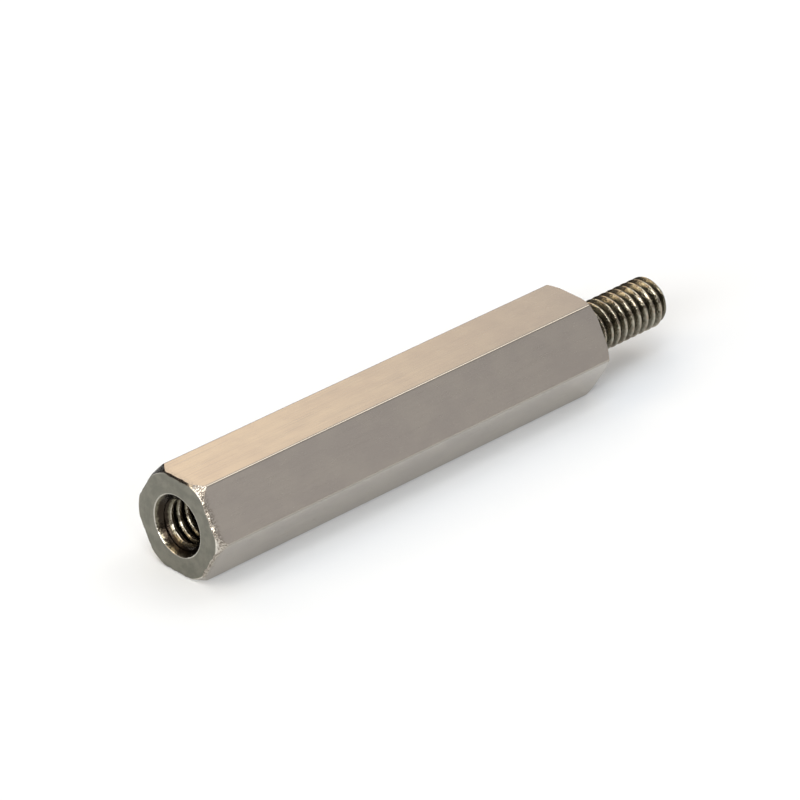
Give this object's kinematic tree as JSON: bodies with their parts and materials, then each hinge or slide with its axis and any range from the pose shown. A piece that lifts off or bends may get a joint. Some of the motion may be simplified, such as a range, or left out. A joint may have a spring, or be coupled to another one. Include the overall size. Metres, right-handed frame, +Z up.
{
  "type": "hex standoff",
  "caption": "Hexagonal spacer with chamfered ends, a threaded stud at one end and a countersunk tapped hole at the other, used to hold boards or panels apart.",
  "frame": {"origin": "midway along the whole length, on the surface that the part lies on, below the centre of the flat that it rests on", "axes": "+X along the part towards the stud's tip, +Z up from the flat that it lies on, +Y across the hexagon to complete a right-handed frame"},
  "size_m": [0.0508, 0.009, 0.0079],
  "materials": {
    "nickel_plated_brass": "gloss"
  },
  "bodies": {
    "root": {"hex_standoff": "nickel_plated_brass"}
  },
  "joints": []
}
